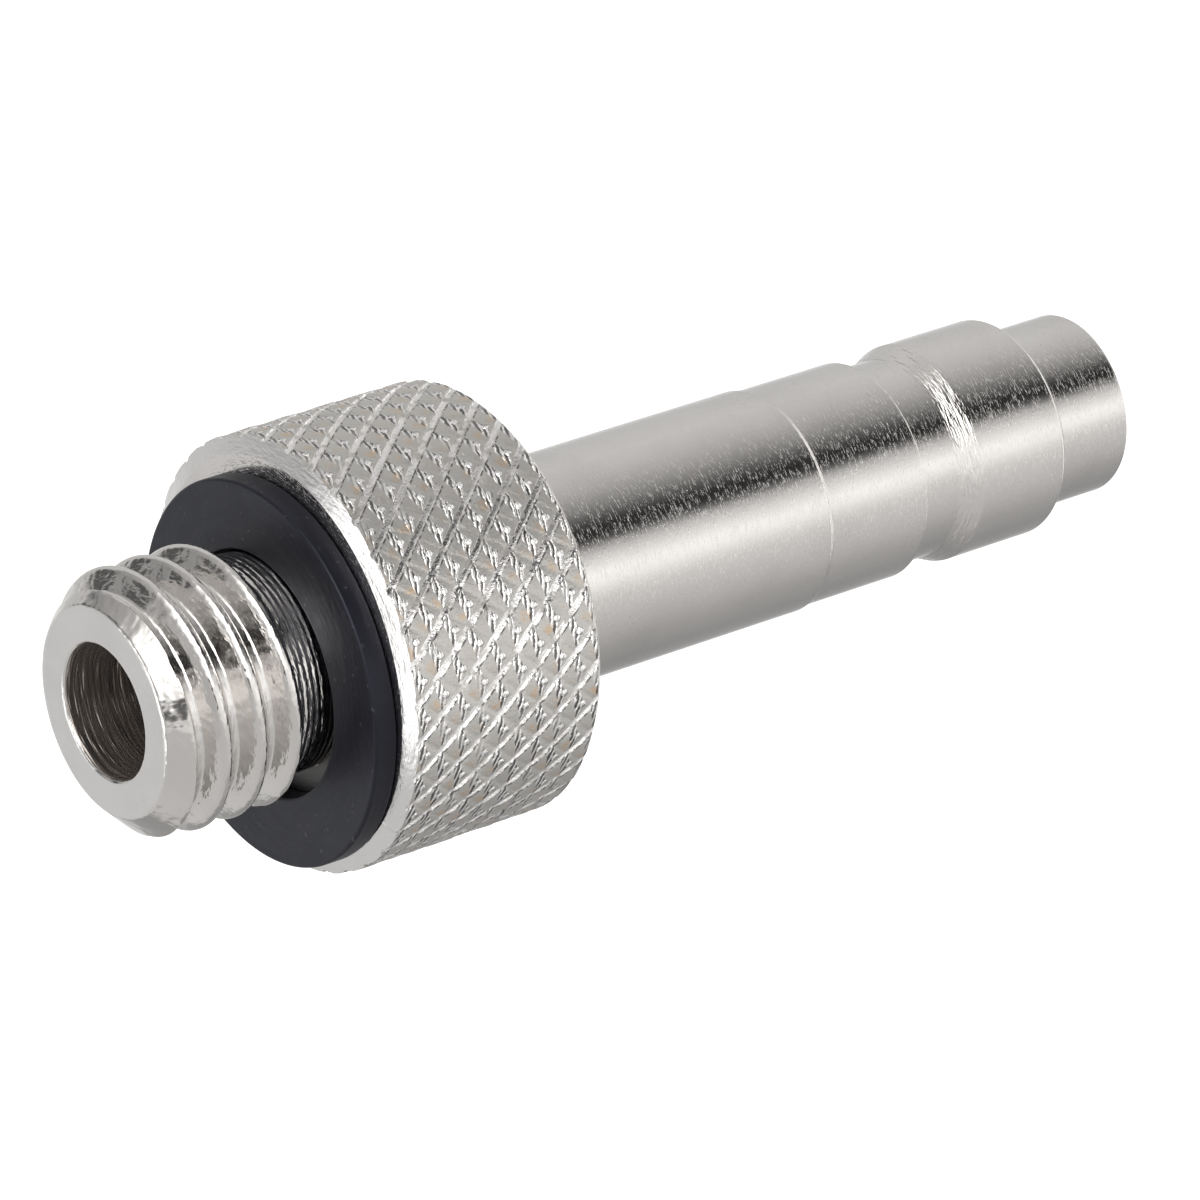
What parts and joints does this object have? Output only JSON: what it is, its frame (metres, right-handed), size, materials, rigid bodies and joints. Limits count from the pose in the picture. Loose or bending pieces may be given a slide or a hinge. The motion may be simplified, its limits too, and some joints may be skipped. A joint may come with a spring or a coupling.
{
  "type": "fluid refill adapter",
  "caption": "Threaded adapter with a seal washer, a diamond-knurled finger collar and a grooved quick-connect plug, bored right through to pass fluid.",
  "frame": {"origin": "centre of the plug tip's end face, on the axis", "axes": "+Z along the axis from the plug tip to the threaded end; the washer hangs mostly to the -X side"},
  "size_m": [0.0164, 0.0164, 0.0446],
  "materials": {
    "plated_brass": "nickel plated, satin turned surfaces with fine tool lines",
    "black_rubber": "matte black with fine dust"
  },
  "bodies": {
    "root": {"adapter_body": "plated_brass", "seal_washer": "black_rubber"}
  },
  "joints": []
}
